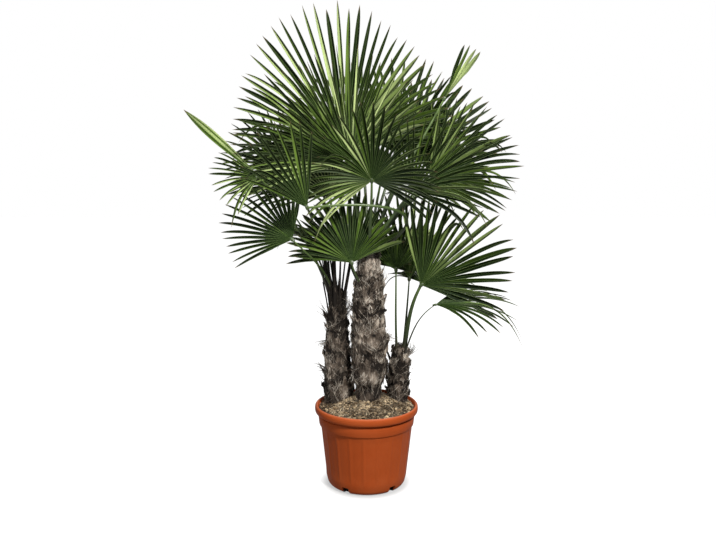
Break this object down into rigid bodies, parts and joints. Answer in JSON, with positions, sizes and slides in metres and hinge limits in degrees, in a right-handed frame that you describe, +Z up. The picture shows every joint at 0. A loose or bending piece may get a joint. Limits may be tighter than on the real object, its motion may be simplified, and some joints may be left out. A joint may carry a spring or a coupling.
{
  "type": "potted windmill palm",
  "caption": "Clump of windmill palms with fan-shaped leaves on fibrous trunks, growing in a round tapered plastic nursery pot.",
  "frame": {"origin": "centre of the pot's underside, on the surface that it stands on", "axes": "+Z up along the pot's axis, -Y towards the front, +X to the right seen from the front"},
  "size_m": [1.6205, 1.2602, 2.331],
  "materials": {
    "terracotta_plastic": "satin",
    "bark_mulch": "matte",
    "trunk_fibre": "matte",
    "palm_leaf": "satin"
  },
  "bodies": {
    "root": {"leaf_back_high": "palm_leaf", "leaf_back_left": "palm_leaf", "leaf_back_low": "palm_leaf", "leaf_back_right": "palm_leaf", "leaf_centre_low": "palm_leaf", "leaf_front": "palm_leaf", "leaf_front_low": "palm_leaf", "leaf_left_back": "palm_leaf", "leaf_left_far": "palm_leaf", "leaf_left_high": "palm_leaf", "leaf_left_low": "palm_leaf", "leaf_left_low_back": "palm_leaf", "leaf_left_middle": "palm_leaf", "leaf_left_outer": "palm_leaf", "leaf_left_shaded": "palm_leaf", "leaf_left_spear": "palm_leaf", "leaf_left_upper": "palm_leaf", "leaf_right": "palm_leaf", "leaf_right_behind": "palm_leaf", "leaf_right_inner": "palm_leaf", "leaf_right_inner_back": "palm_leaf", "leaf_right_low": "palm_leaf", "leaf_right_low_back": "palm_leaf", "leaf_right_lowest": "palm_leaf", "leaf_right_middle": "palm_leaf", "leaf_right_outer": "palm_leaf", "leaf_right_upper": "palm_leaf", "leaf_top": "palm_leaf", "leaf_top_back": "palm_leaf", "leaf_top_front": "palm_leaf", "leaf_upper_back": "palm_leaf", "leaf_young_folded": "palm_leaf", "pot": "terracotta_plastic", "soil": "bark_mulch", "trunk_left": "trunk_fibre", "trunk_main": "trunk_fibre", "trunk_right": "trunk_fibre"}
  },
  "joints": []
}
